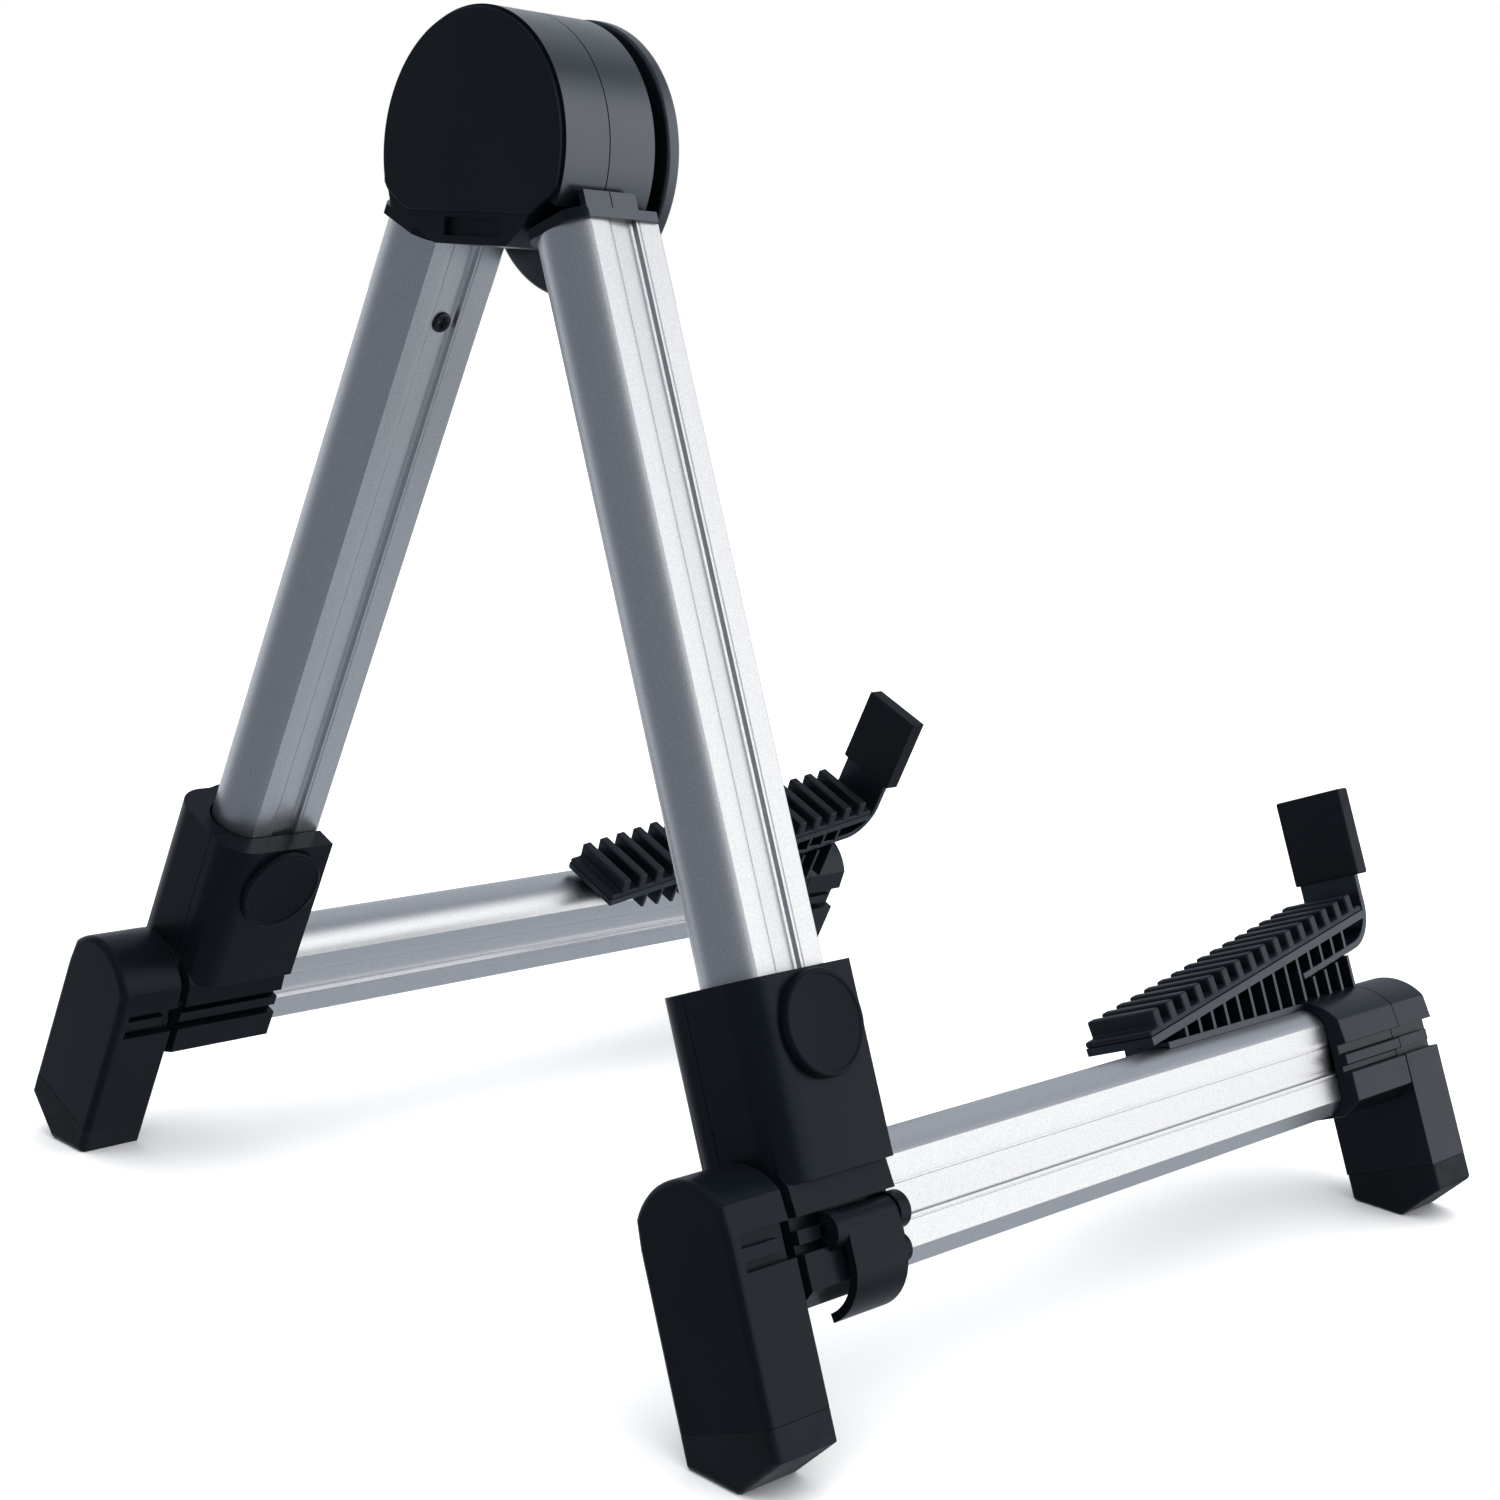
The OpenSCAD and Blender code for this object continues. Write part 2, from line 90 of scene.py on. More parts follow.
def leg_matrix(side):
    """Leg frame to row frame: x outward across the leg, y from the back face of the feet, z up the leg."""
    place = (Matrix.Translation((0, BACK, HINGE.z)) @ Matrix.Rotation(-SPLAY, 4, "Y")
             @ Matrix.Translation((OFFSET, 0, 0)))
    return Matrix.Scale(-1, 4, (1, 0, 0)) @ place if side == "left" else place


# ---------------------------------------------------------------- materials

# Tint of the dim room's light, and the painted cool tint of the highlights on black mouldings and rubber
COOL = (0.78, 0.87, 1.0)
PAINTED_SHEEN = (0.70, 0.83, 1.0)

# Darkest and lightest base colour of each finish
ABS_TONES = (0.0028, 0.0042, 0.0060), (0.0040, 0.0056, 0.0078)
RUBBER_TONES = (0.0028, 0.0034, 0.0044), (0.0048, 0.0056, 0.0070)
ALUMINIUM_TONES = (0.74, 0.745, 0.76), (0.92, 0.925, 0.935)
PLATED_TONES = (0.34, 0.35, 0.37), (0.52, 0.53, 0.55)
BLACKENED_TONES = (0.03, 0.033, 0.038), (0.06, 0.065, 0.072)
FLOOR_TONES = (0.90, 0.90, 0.90), (0.93, 0.93, 0.93)
SEAM_COLOUR = (0.0004, 0.0005, 0.0006)

# Parting line of the knuckle's mould in millimetres: how far inward of the leg's middle, and its width
KNUCKLE_SEAM = 5.0
SEAM_WIDTH = 0.22


class Shader:
    """A Principled material with short helpers for its node tree."""

    def __init__(self, name):
        self.material = bpy.data.materials.new(name)
        self.material.use_nodes = True
        self.tree = self.material.node_tree
        self.principled = self.tree.nodes["Principled BSDF"]
        self.coords = self.add("ShaderNodeTexCoord").outputs["Object"]

    def add(self, kind, **settings):
        node = self.tree.nodes.new(kind)
        for key, value in settings.items():
            setattr(node, key, value)
        return node

    def link(self, output, socket):
        self.tree.links.new(output, socket)

    def stretched(self, turn, scale):
        """Object coordinates turned about Y and scaled, for grain that runs along a rail."""
        turned = self.add("ShaderNodeMapping", vector_type="POINT")
        turned.inputs["Rotation"].default_value = (0, turn, 0)
        self.link(self.coords, turned.inputs["Vector"])
        scaled = self.add("ShaderNodeMapping", vector_type="POINT")
        scaled.inputs["Scale"].default_value = scale
        self.link(turned.outputs["Vector"], scaled.inputs["Vector"])
        return scaled.outputs["Vector"]

    def noise(self, scale, detail=2.0, coords=None, roughness=0.5):
        node = self.add("ShaderNodeTexNoise")
        node.inputs["Scale"].default_value = scale
        node.inputs["Detail"].default_value = detail
        node.inputs["Roughness"].default_value = roughness
        self.link(coords or self.coords, node.inputs["Vector"])
        return node.outputs["Fac"]

    def ranged(self, value, low, high, start=0.25, stop=0.75):
        node = self.add("ShaderNodeMapRange")
        node.inputs["From Min"].default_value = start
        node.inputs["From Max"].default_value = stop
        node.inputs["To Min"].default_value = low
        node.inputs["To Max"].default_value = high
        self.link(value, node.inputs["Value"])
        return node.outputs["Result"]

    def colour(self, value, dark, light):
        ramp = self.add("ShaderNodeValToRGB")
        ramp.color_ramp.elements[0].position = 0.3
        ramp.color_ramp.elements[0].color = (*dark, 1)
        ramp.color_ramp.elements[1].position = 0.7
        ramp.color_ramp.elements[1].color = (*light, 1)
        self.link(value, ramp.inputs["Fac"])
        self.link(ramp.outputs["Color"], self.principled.inputs["Base Color"])

    def seam(self, direction, offset, width):
        """Thin dark parting line where the object position along a direction equals the offset."""
        along = self.add("ShaderNodeVectorMath", operation="DOT_PRODUCT")
        along.inputs[1].default_value = direction
        self.link(self.coords, along.inputs[0])
        inside = self.add("ShaderNodeMath", operation="COMPARE")
        inside.inputs[1].default_value = offset
        inside.inputs[2].default_value = width / 2
        self.link(along.outputs["Value"], inside.inputs[0])
        mix = self.add("ShaderNodeMixRGB")
        mix.inputs["Color2"].default_value = (*SEAM_COLOUR, 1)
        base = self.principled.inputs["Base Color"]
        self.link(inside.outputs["Value"], mix.inputs["Fac"])
        self.link(base.links[0].from_socket, mix.inputs["Color1"])
        self.link(mix.outputs["Color"], base)
        specular = self.principled.inputs["Specular IOR Level"]
        shine = self.ranged(inside.outputs["Value"], specular.default_value, 0.0, start=0.0, stop=1.0)
        self.link(shine, specular)

    def rough(self, value):
        self.link(value, self.principled.inputs["Roughness"])

    def bump(self, height, strength, distance, normal=None):
        node = self.add("ShaderNodeBump")
        node.inputs["Strength"].default_value = strength
        node.inputs["Distance"].default_value = distance
        self.link(height, node.inputs["Height"])
        if normal is not None:
            self.link(normal, node.inputs["Normal"])
        self.link(node.outputs["Normal"], self.principled.inputs["Normal"])
        return node.outputs["Normal"]


def plastic(name, gloss, shine, coat=0.0, seam=None):
    """Satin moulded ABS: near black with a blue cast, fine spark-eroded grain and faint flow clouds."""
    s = Shader(name)
    s.colour(s.noise(22, 4), *ABS_TONES)
    s.principled.inputs["Specular IOR Level"].default_value = shine
    # Painted cool tint on the highlights
    s.principled.inputs["Specular Tint"].default_value = (*PAINTED_SHEEN, 1)
    s.principled.inputs["Coat Weight"].default_value = coat
    s.principled.inputs["Coat Roughness"].default_value = gloss
    s.rough(s.ranged(s.noise(60, 5), gloss - 0.035, gloss + 0.05))
    grain = s.bump(s.noise(2600, 2), 0.16, 0.00006)
    s.bump(s.noise(70, 1), 0.05, 0.0004, grain)
    if seam:
        s.seam(*seam)
    return s.material


def rubber(name, shine):
    """Matt rubber with a sandy mould texture and a little dust in it."""
    s = Shader(name)
    s.colour(s.noise(45, 5), *RUBBER_TONES)
    s.rough(s.ranged(s.noise(120, 4), 0.46, 0.62))
    s.principled.inputs["Specular IOR Level"].default_value = shine
    # Painted cool tint on the highlights
    s.principled.inputs["Specular Tint"].default_value = (*PAINTED_SHEEN, 1)
    grain = s.bump(s.noise(1900, 3), 0.28, 0.0001)
    s.bump(s.noise(240, 2), 0.08, 0.0003, grain)
    return s.material


def aluminium(name, turn, along):
    """Bead-blasted, clear-anodised extrusion: speckle, plus faint die lines along the rail."""
    s = Shader(name)
    lines = tuple(6.0 if axis == along else 900.0 for axis in range(3))
    die = s.noise(1.0, 2, s.stretched(turn, lines))
    speckle = s.noise(2300, 2, roughness=0.7)
    s.colour(speckle, *ALUMINIUM_TONES)
    s.rough(s.ranged(s.noise(1500, 2), 0.31, 0.41))
    s.principled.inputs["Metallic"].default_value = 1.0
    grain = s.bump(speckle, 0.22, 0.00008)
    s.bump(die, 0.10, 0.00008, grain)
    return s.material


def steel(name, dark, light):
    """Steel with a slightly uneven plated or blackened finish."""
    s = Shader(name)
    s.colour(s.noise(300, 4), dark, light)
    s.rough(s.ranged(s.noise(700, 3), 0.22, 0.40))
    s.principled.inputs["Metallic"].default_value = 1.0
    s.bump(s.noise(900, 2), 0.1, 0.00005)
    return s.material


def floor_paint(name):
    """Pale matt floor with a barely visible unevenness."""
    s = Shader(name)
    s.colour(s.noise(3, 2), *FLOOR_TONES)
    s.rough(s.ranged(s.noise(8, 2), 0.85, 0.95))
    s.principled.inputs["Specular IOR Level"].default_value = 0.0
    return s.material


def knuckle_plastic(side):
    """The knuckle's plastic with the parting line of its mould down the rear face."""
    to_row = leg_matrix(side)
    across = to_row.to_3x3() @ Vector((1, 0, 0))
    offset = to_row.translation.dot(across) - KNUCKLE_SEAM * MM
    return plastic(f"{side}_knuckle_abs", 0.30, 0.18, seam=(across, offset, SEAM_WIDTH * MM))


PLASTIC = plastic("satin_abs", 0.30, 0.19)
DRUM_PLASTIC = plastic("drum_abs", 0.28, 1.0, 1.0)
BUMPER = plastic("satin_rubber", 0.34, 1.0, 1.0)
FRONT_PLASTIC = plastic("front_abs", 0.30, 0.40)
CAP_PLASTIC = plastic("cap_abs", 0.27, 0.10)
KNUCKLE_PLASTIC = {side: knuckle_plastic(side) for side in SIDES}
RUBBER = rubber("black_rubber", 0.30)
PAD_RUBBER = rubber("pad_rubber", 0.70)
CRADLE_PLASTIC = plastic("cradle_abs", 0.32, 0.95)
STEEL = steel("plated_steel", *PLATED_TONES)
DARK_STEEL = steel("blackened_steel", *BLACKENED_TONES)
LEG_ALU = {side: aluminium(f"{side}_leg_aluminium", sign * SPLAY, 2) for side, sign in SIDES.items()}
ARM_ALU = {side: aluminium(f"{side}_arm_aluminium", sign * SPLAY, 1) for side, sign in SIDES.items()}

# Finish of the CAD nodes by material slot
BY_SLOT = {"black_plastic": PLASTIC, "black_rubber": RUBBER, "steel": STEEL,
           "satin_aluminium": LEG_ALU["left"]}

# ---------------------------------------------------------------- mesh helpers

# Edges that turn by more than this are rounded or kept sharp
SHARP = math.radians(28)
# Faces that differ by less than this are merged into one before rounding
FLAT = math.radians(0.4)
# Distance in metres at which the CAD mesh's vertices are welded
WELD = 2e-6
STRONG_SEGMENTS = 5


def add_piece(name, bm, node, material):
    """Puts a finished mesh in the scene as the visible form of a CAD node."""
    mesh = bpy.data.meshes.new(name)
    bm.to_mesh(mesh)
    bm.free()
    mesh.materials.append(material)
    piece = bpy.data.objects.new(name, mesh)
    bpy.context.scene.collection.objects.link(piece)
    for face in mesh.polygons:
        face.use_smooth = True
    weighted = piece.modifiers.new("even_normals", "WEIGHTED_NORMAL")
    weighted.keep_sharp = True
    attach(piece, BODY_OF[node])
    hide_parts(node)
    return piece


def sharp_edges(bm, test=None):
    """Edges between two faces that turn sharply, only those that pass the test if there is one."""
    edges = []
    for edge in bm.edges:
        if len(edge.link_faces) == 2 and edge.calc_face_angle(0) > SHARP:
            if test is None or test(edge):
                edges.append(edge)
    return edges


def bevel(bm, edges, width, segments):
    if edges:
        bmesh.ops.bevel(bm, geom=edges, offset=width, offset_type="OFFSET", segments=segments,
                        profile=0.5, affect="EDGES", clamp_overlap=True)


def soften(node, material, width, segments=3, strong=None, strong_width=0.0, side=None):
    """Rebuilds a CAD node with moulded edges.

    strong() picks the edges that get strong_width, from their ends in millimetres: in the leg frame of a
    side, or measured from the top hinge if there is no side.
    """
    bm = bmesh.new()
    bm.from_mesh(frame["nodes"][node].data)
    bmesh.ops.remove_doubles(bm, verts=bm.verts, dist=WELD)
    bmesh.ops.dissolve_limit(bm, angle_limit=FLAT, use_dissolve_boundaries=False,
                             verts=bm.verts, edges=bm.edges, delimit={"NORMAL"})
    if strong is not None:
        to_leg = leg_matrix(side).inverted() if side else Matrix.Translation(-HINGE)

        def picked(edge):
            a, b = ((to_leg @ v.co) / MM for v in edge.verts)
            return strong(a, b)

        bevel(bm, sharp_edges(bm, picked), strong_width, STRONG_SEGMENTS)
    bevel(bm, sharp_edges(bm), width, segments)
    bmesh.ops.remove_doubles(bm, verts=bm.verts, dist=1e-7)
    bmesh.ops.recalc_face_normals(bm, faces=bm.faces)
    return add_piece(f"{node}_form", bm, node, material)


def lathe(name, node, material, profile, centre, axis, steps=96, recess=None, depth=0.0):
    """Turns a profile of (radius, height) in millimetres about an axis.

    Where the profile's last ring is left open, recess is the outline of a hole of that depth in its face.
    """
    bm = bmesh.new()
    turn = Vector((0, 0, 1)).rotation_difference(axis).to_matrix().to_4x4()
    place = Matrix.Translation(centre) @ turn
    rings = []
    for radius, height in profile:
        if radius < 1e-6:
            rings.append([bm.verts.new(place @ Vector((0, 0, height * MM)))])
            continue
        rings.append([bm.verts.new(place @ Vector((radius * MM * math.cos(2 * math.pi * k / steps),
                                                   radius * MM * math.sin(2 * math.pi * k / steps),
                                                   height * MM))) for k in range(steps)])
    for low, high in zip(rings, rings[1:]):
        for k in range(steps):
            m = (k + 1) % steps
            corners = [low[k % len(low)], low[m % len(low)], high[m % len(high)], high[k % len(high)]]
            unique = list(dict.fromkeys(corners))
            if len(unique) > 2:
                bm.faces.new(unique)
    if recess:
        top = profile[-1][1]
        rim, floor_ring = ([bm.verts.new(place @ Vector((x * MM, y * MM, z * MM))) for x, y in recess]
                           for z in (top, top - depth))
        turns = range(len(recess))
        edges = [bm.edges.new((rim[k], rim[k - 1])) for k in turns]
        edges += [bm.edges.get((rings[-1][k], rings[-1][k - 1])) for k in range(steps)]
        bmesh.ops.triangle_fill(bm, edges=edges, use_beauty=True)
        for k in turns:
            bm.faces.new((rim[k - 1], rim[k], floor_ring[k], floor_ring[k - 1]))
        bm.faces.new(floor_ring)
        for edge in sharp_edges(bm):
            edge.smooth = False
    bmesh.ops.recalc_face_normals(bm, faces=bm.faces)
    add_piece(name, bm, node, material)


def rounded_corner(radius, height, size, steps=5):
    """Profile points of a quarter round from the side wall (radius) up to the face (height)."""
    return [(radius - size + size * math.cos(a), height - size + size * math.sin(a))
            for a in (math.pi / 2 * k / steps for k in range(steps + 1))]


# ---------------------------------------------------------------- pieces

# Pivot caps in millimetres: half the width of the socket that they seat on, their radius, the spigot
# behind each one, and the way each faces with the height of its rim
SOCKET_HALF = 16.5
CAP_R = 12.5
SPIGOT_R = 7.9
SPIGOT_LENGTH = 2.9
CAP_FACES = {"outer": (1, 2.5), "inner": (-1, 1.9)}


def pivot_caps(side):
    """Snap-in discs over the pivot pin: a low raised rim round a very slightly dished face."""
    to_row = leg_matrix(side)
    pivot_y = PIVOT.y - BACK
    for which, (direction, face) in CAP_FACES.items():
        node = f"{side}_{which}_pivot_cap"
        centre = to_row @ Vector((direction * SOCKET_HALF * MM, pivot_y, -PIVOT_DOWN))
        axis = (to_row.to_3x3() @ Vector((direction, 0, 0))).normalized()
        profile = [(0, -SPIGOT_LENGTH), (SPIGOT_R, -SPIGOT_LENGTH), (SPIGOT_R, 0)]
        profile += [(11.9, 0), (12.3, 0.15), (CAP_R, 0.4)]
        profile += rounded_corner(CAP_R, face, 0.7)
        profile += [(11.3, face), (11.05, face - 0.1), (10.9, face - 0.32), (0, face - 0.45)]
        lathe(f"{node}_disc", node, CAP_PLASTIC, profile, centre, axis)


def leg_box(side, node):
    """Corners of a CAD node in the leg frame, in metres."""
    to_leg = leg_matrix(side).inverted()
    points = [to_leg @ v.co for v in frame["nodes"][node].data.vertices]
    return [Vector(pick(p[axis] for p in points) for axis in range(3)) for pick in (min, max)]


def arc(radius, centre_depth, half, steps):
    """Right half of a rail's round nose, out to the given half width."""
    last = math.asin(half / radius)
    return [(radius * math.sin(last * k / steps), centre_depth - radius * math.cos(last * k / steps))
            for k in range(steps + 1)]


# Half sections of the extrusion in millimetres: across from the middle, depth from the nose
RAIL_OUTSIDE = arc(10.4, 10.4, 9.3, 20) + [
    (9.3, 6.4), (9.28, 9.5), (9.16, 11.2), (9.0, 11.85), (8.45, 11.95), (8.45, 12.35), (8.72, 12.5),
    (8.5, 14.5), (8.2, 17.2), (7.95, 18.9), (7.9, 19.4), (8.1, 19.9), (8.6, 20.15), (9.26, 20.25),
    (9.3, 20.4), (9.3, 20.85), (8.95, 21.0), (8.95, 21.25), (9.3, 21.4), (9.3, 27.4), (9.15, 27.75),
    (5.25, 31.65), (5.0, 31.8)]
RAIL_INSIDE = arc(8.8, 10.4, 7.7, 12) + [
    (7.7, 6.4), (7.7, 10.4), (6.7, 10.4), (6.7, 21.6), (7.7, 21.6), (7.7, 27.0), (4.3, 30.2)]


def rail(side, node, material, along):
    """Extruded rail with its grooves, edge beads and hollow inside, as long as the CAD one."""
    low, high = leg_box(side, node)
    to_row = leg_matrix(side)
    bm = bmesh.new()
    ends = {low[along]: [], high[along]: []}
    for half in (RAIL_OUTSIDE, RAIL_INSIDE):
        outline = [(x, d) for x, d in half] + [(-x, d) for x, d in reversed(half) if x > 0]
        loops = []
        for at in ends:
            verts = []
            for x, d in outline:
                point = Vector((x * MM, at, high.z - d * MM) if along == 1 else (x * MM, high.y - d * MM, at))
                verts.append(bm.verts.new(to_row @ point))
            ends[at] += [bm.edges.new((verts[k], verts[k - 1])) for k in range(len(verts))]
            loops.append(verts)
        for k in range(len(outline)):
            bm.faces.new((loops[0][k - 1], loops[0][k], loops[1][k], loops[1][k - 1]))
    for edges in ends.values():
        bmesh.ops.triangle_fill(bm, edges=edges, use_beauty=True)
    bmesh.ops.recalc_face_normals(bm, faces=bm.faces)
    for edge in sharp_edges(bm):
        edge.smooth = False
    add_piece(f"{node}_extrusion", bm, node, material)


# Height of the leg screw's head, depth of its cross recess and the recess's outline, in millimetres
SCREW_HEAD = 1.2
CROSS_DEPTH = 0.9
CROSS = [(1.45, 0.42), (0.42, 0.42), (0.42, 1.45), (-0.42, 1.45), (-0.42, 0.42), (-1.45, 0.42),
         (-1.45, -0.42), (-0.42, -0.42), (-0.42, -1.45), (0.42, -1.45), (0.42, -0.42), (1.45, -0.42)]


def leg_screw(side):
    """Blackened pan-head screw with a cross recess, holding the leg to the hinge head."""
    node = f"{side}_leg_screw"
    low, high = leg_box(side, node)
    to_row = leg_matrix(side)
    centre = to_row @ Vector((low.x + SCREW_HEAD * MM, (low.y + high.y) / 2, (low.z + high.z) / 2))
    axis = (to_row.to_3x3() @ Vector((-1, 0, 0))).normalized()
    shank = -(high.x - low.x) / MM + SCREW_HEAD
    profile = [(0, shank), (1.1, shank), (1.38, shank + 0.4), (1.38, 0), (2.8, 0), (2.8, 0.6),
               (2.7, 0.9), (2.4, 1.12), (2.05, SCREW_HEAD)]
    lathe(f"{node}_form", node, DARK_STEEL, profile, centre, axis, steps=48, recess=CROSS,
          depth=CROSS_DEPTH)


def rails(side):
    rail(side, f"{side}_leg_tube", LEG_ALU[side], 2)
    rail(side, f"{side}_arm_rail", ARM_ALU[side], 1)
    leg_screw(side)


# Which edges count as on an end face, and as clear of the seam between foot and shoe, in millimetres
ON_FACE = 0.3
OFF_SEAM = 0.5


def feet(side):
    """Feet and shoes, rounded round their end faces but flush with each other along the seam."""
    seam = leg_box(side, f"{side}_rear_foot")[0].z / MM
    front = leg_box(side, f"{side}_front_foot")[0].y / MM
    soften(f"{side}_rear_foot", PLASTIC, 0.45 * MM, 3, side=side, strong_width=2.0 * MM,
           strong=lambda a, b: min(a.y, b.y) > -ON_FACE and max(a.z, b.z) > seam + OFF_SEAM)
    soften(f"{side}_front_foot", FRONT_PLASTIC, 0.45 * MM, 3, side=side, strong_width=0.9 * MM,
           strong=lambda a, b: max(a.y, b.y) < front + ON_FACE and max(a.z, b.z) > seam + OFF_SEAM)
    soften(f"{side}_rear_shoe", RUBBER, 0.2 * MM, 2, side=side, strong_width=2.0 * MM,
           strong=lambda a, b: min(a.y, b.y) > -ON_FACE and min(a.z, b.z) < seam - OFF_SEAM)
    soften(f"{side}_front_shoe", RUBBER, 0.2 * MM, 2, side=side, strong_width=1.0 * MM,
           strong=lambda a, b: min(a.z, b.z) < seam - OFF_SEAM)


def knuckle(side):
    soften(f"{side}_knuckle", KNUCKLE_PLASTIC[side], 0.5 * MM, 3)
    soften(f"{side}_latch_lever", PLASTIC, 0.5 * MM, 3)
    soften(f"{side}_front_sleeve", FRONT_PLASTIC, 0.45 * MM, 3)
    pivot_caps(side)


def cradle(side):
    soften(f"{side}_cradle_base", CRADLE_PLASTIC, 0.25 * MM, 2)
    soften(f"{side}_cradle_pad", PAD_RUBBER, 0.7 * MM, 3)
    soften(f"{side}_lip_bracket", CRADLE_PLASTIC, 0.45 * MM, 3)
    soften(f"{side}_lip_cap", RUBBER, 0.9 * MM, 4)


# Hinge drum in millimetres: faces further than DRUM_WALL from its axis are its side wall, down to the
# collars, which start COLLAR_DOWN down each leg. Two ends this close line up across an edge
DRUM_WALL = 33.0
COLLAR_DOWN = 25.4
LINED_UP = 0.01


def hinge_head(node):
    """Hinge head whose drum wall and tabs are polished, and whose collar and rear face are plain."""
    piece = soften(node, PLASTIC, 0.4 * MM, 3)
    piece.data.materials.append(DRUM_PLASTIC)
    to_legs = [leg_matrix(side).inverted() for side in SIDES]
    for face in piece.data.polygons:
        from_axis = (face.center - HINGE) * Vector((1, 0, 1))
        above_collars = all((to_leg @ face.center).z > -COLLAR_DOWN * MM for to_leg in to_legs)
        if from_axis.length > DRUM_WALL * MM and above_collars:
            face.material_index = 1


def hinge():
    """Hinge parts; the cover's corners, whose edges run fore and aft, get the larger radius."""
    soften("rear_cover", PLASTIC, 0.35 * MM, 3, strong_width=3.0 * MM,
           strong=lambda a, b: abs(a.x - b.x) < LINED_UP and abs(a.z - b.z) < LINED_UP)
    hinge_head("right_hinge_head")
    hinge_head("left_hinge_head")
    soften("front_bumper", BUMPER, 0.9 * MM, 4)


hinge()
for side in SIDES:
    rails(side)
    feet(side)
    knuckle(side)
    cradle(side)
for node, obj in frame["nodes"].items():
    obj.data.materials.clear()
    obj.data.materials.append(BY_SLOT[SLOT_OF[node]])

# ---------------------------------------------------------------- floor, light and camera

FLOOR_SIZE = 60

# Direction towards the light, cosine where it starts and where it is full, strength
LOBES = [
    ((-0.68, -0.73, 0.20), 0.72, 0.97, 1.0),
    ((-0.86, -0.10, 0.50), 0.90, 0.99, 1.2),
    ((0.35, -0.72, 0.60), 0.76, 1.0, 0.28),
    ((0.95, -0.25, -0.20), 0.60, 1.0, 0.50),
    ((0.10, -0.55, -0.85), 0.45, 1.0, 0.28),
]
ROOM = 0.20

# Sun from above: degrees across, and strength
OVERHEAD_SPREAD = 100
OVERHEAD_STRENGTH = 4.4

# Camera: yaw, pitch and roll in degrees, place in metres with y from the back of the feet, focal length
CAMERA_TURN = (223.42, 10.28, 3.89)
CAMERA_PLACE = (-0.4796, 0.3705, 0.2544)
FOCAL_LENGTH = 60.2


def floor():
    """Pale floor, kept out of the gloss."""
    bpy.ops.mesh.primitive_plane_add(size=FLOOR_SIZE, location=(0, 0, 0))
    plane = bpy.context.object
    plane.name = "studio_floor"
    plane.data.materials.append(floor_paint("floor_paint"))
    plane.visible_glossy = False


def lobe(tree, direction, start, stop, strength):
    """Soft light from one direction: strength times a smooth step of the cosine to it."""
    coords = tree.nodes.new("ShaderNodeTexCoord")
    dot = tree.nodes.new("ShaderNodeVectorMath")
    dot.operation = "DOT_PRODUCT"
    dot.inputs[1].default_value = Vector(direction).normalized()
    tree.links.new(coords.outputs["Generated"], dot.inputs[0])
    step = tree.nodes.new("ShaderNodeMapRange")
    step.interpolation_type = "SMOOTHSTEP"
    step.inputs["From Min"].default_value = start
    step.inputs["From Max"].default_value = stop
    step.inputs["To Max"].default_value = strength
    tree.links.new(dot.outputs["Value"], step.inputs["Value"])
    return step.outputs["Result"]


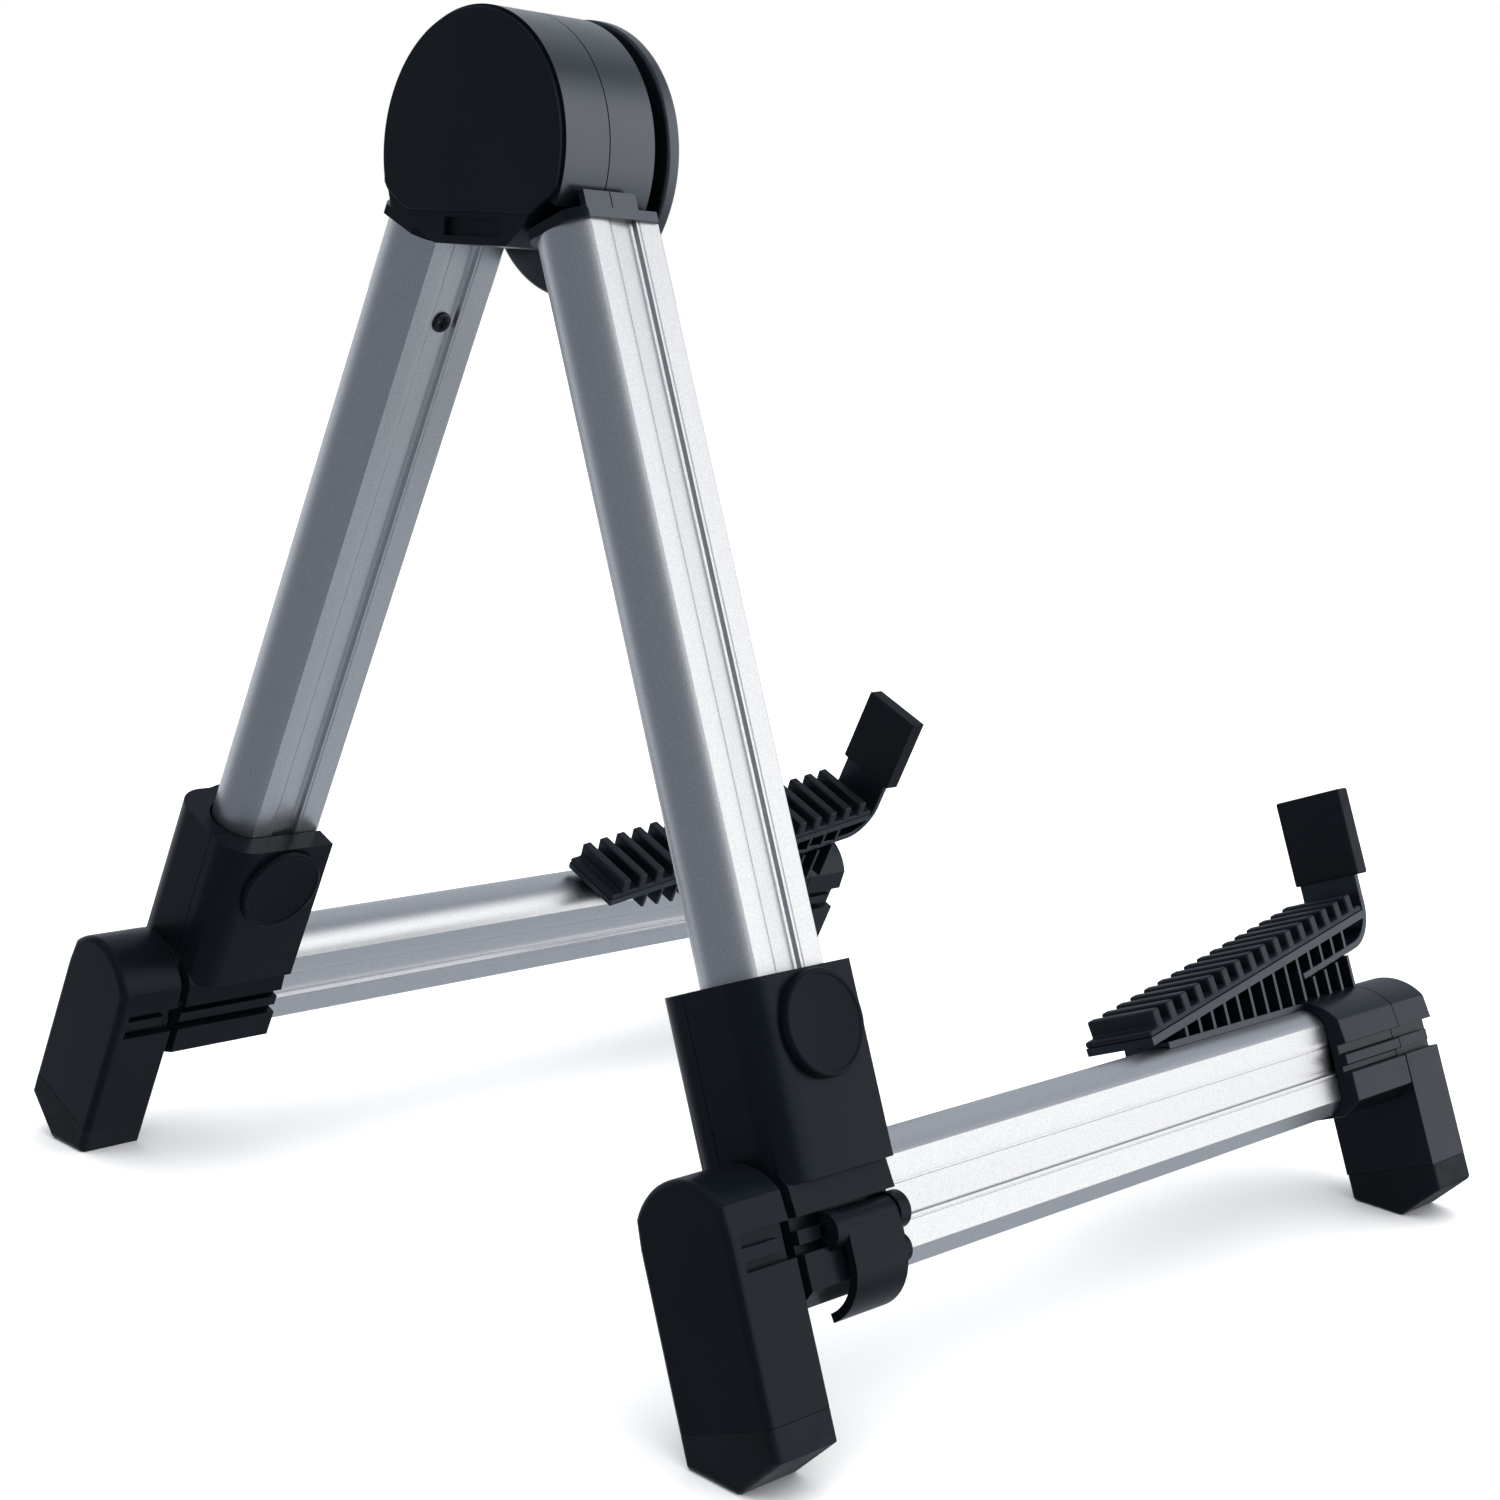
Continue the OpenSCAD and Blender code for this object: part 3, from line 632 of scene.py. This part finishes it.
def world():
    """White behind the object; what lights it and shows in its gloss is a dim room with side softboxes."""
    scene_world = bpy.data.worlds.new("studio")
    bpy.context.scene.world = scene_world
    scene_world.use_nodes = True
    tree = scene_world.node_tree
    tree.nodes.clear()
    total = None
    for direction, start, stop, strength in LOBES:
        value = lobe(tree, direction, start, stop, strength)
        if total is None:
            total = value
            continue
        add = tree.nodes.new("ShaderNodeMath")
        add.operation = "ADD"
        tree.links.new(total, add.inputs[0])
        tree.links.new(value, add.inputs[1])
        total = add.outputs["Value"]
    room = tree.nodes.new("ShaderNodeBackground")
    tint = tree.nodes.new("ShaderNodeValToRGB")
    tint.color_ramp.elements[0].color = (*COOL, 1)
    tint.color_ramp.elements[1].color = (1, 1, 1, 1)
    tree.links.new(total, tint.inputs["Fac"])
    tree.links.new(tint.outputs["Color"], room.inputs["Color"])
    base = tree.nodes.new("ShaderNodeMath")
    base.operation = "ADD"
    base.inputs[1].default_value = ROOM
    tree.links.new(total, base.inputs[0])
    tree.links.new(base.outputs["Value"], room.inputs["Strength"])
    white = tree.nodes.new("ShaderNodeBackground")
    white.inputs["Color"].default_value = (1, 1, 1, 1)
    white.inputs["Strength"].default_value = 1.0
    path = tree.nodes.new("ShaderNodeLightPath")
    mix = tree.nodes.new("ShaderNodeMixShader")
    out = tree.nodes.new("ShaderNodeOutputWorld")
    tree.links.new(path.outputs["Is Camera Ray"], mix.inputs["Fac"])
    tree.links.new(room.outputs["Background"], mix.inputs[1])
    tree.links.new(white.outputs["Background"], mix.inputs[2])
    tree.links.new(mix.outputs["Shader"], out.inputs["Surface"])


def overhead():
    """A broad soft light from above that keeps the whole floor white, kept out of the gloss."""
    lamp = bpy.data.lights.new("overhead", "SUN")
    lamp.angle = math.radians(OVERHEAD_SPREAD)
    lamp.energy = OVERHEAD_STRENGTH
    holder = bpy.data.objects.new("overhead", lamp)
    holder.location = (0, 0, 2.4)
    holder.visible_glossy = False
    bpy.context.scene.collection.objects.link(holder)


def camera():
    """The photograph's view: behind and to the left, a little above the floor, slightly rolled."""
    yaw, pitch, roll = (math.radians(a) for a in CAMERA_TURN)
    away = Vector((math.sin(yaw) * math.cos(pitch), -math.cos(yaw) * math.cos(pitch), math.sin(pitch)))
    right = (-away).cross(Vector((0, 0, 1))).normalized()
    up = right.cross(-away)
    turned_right = math.cos(roll) * right + math.sin(roll) * up
    turned_up = -math.sin(roll) * right + math.cos(roll) * up
    lens = bpy.data.cameras.new("view")
    lens.sensor_width = 36
    lens.lens = FOCAL_LENGTH
    lens.clip_start = 0.01
    holder = bpy.data.objects.new("view", lens)
    axes = Matrix((turned_right, turned_up, away)).transposed().to_4x4()
    x, y, z = CAMERA_PLACE
    holder.matrix_world = Matrix.Translation((x, y + BACK, z)) @ axes
    bpy.context.scene.collection.objects.link(holder)
    bpy.context.scene.camera = holder


floor()
world()
overhead()
camera()
bpy.context.scene.view_settings.view_transform = "Standard"
bpy.context.scene.view_settings.look = "None"
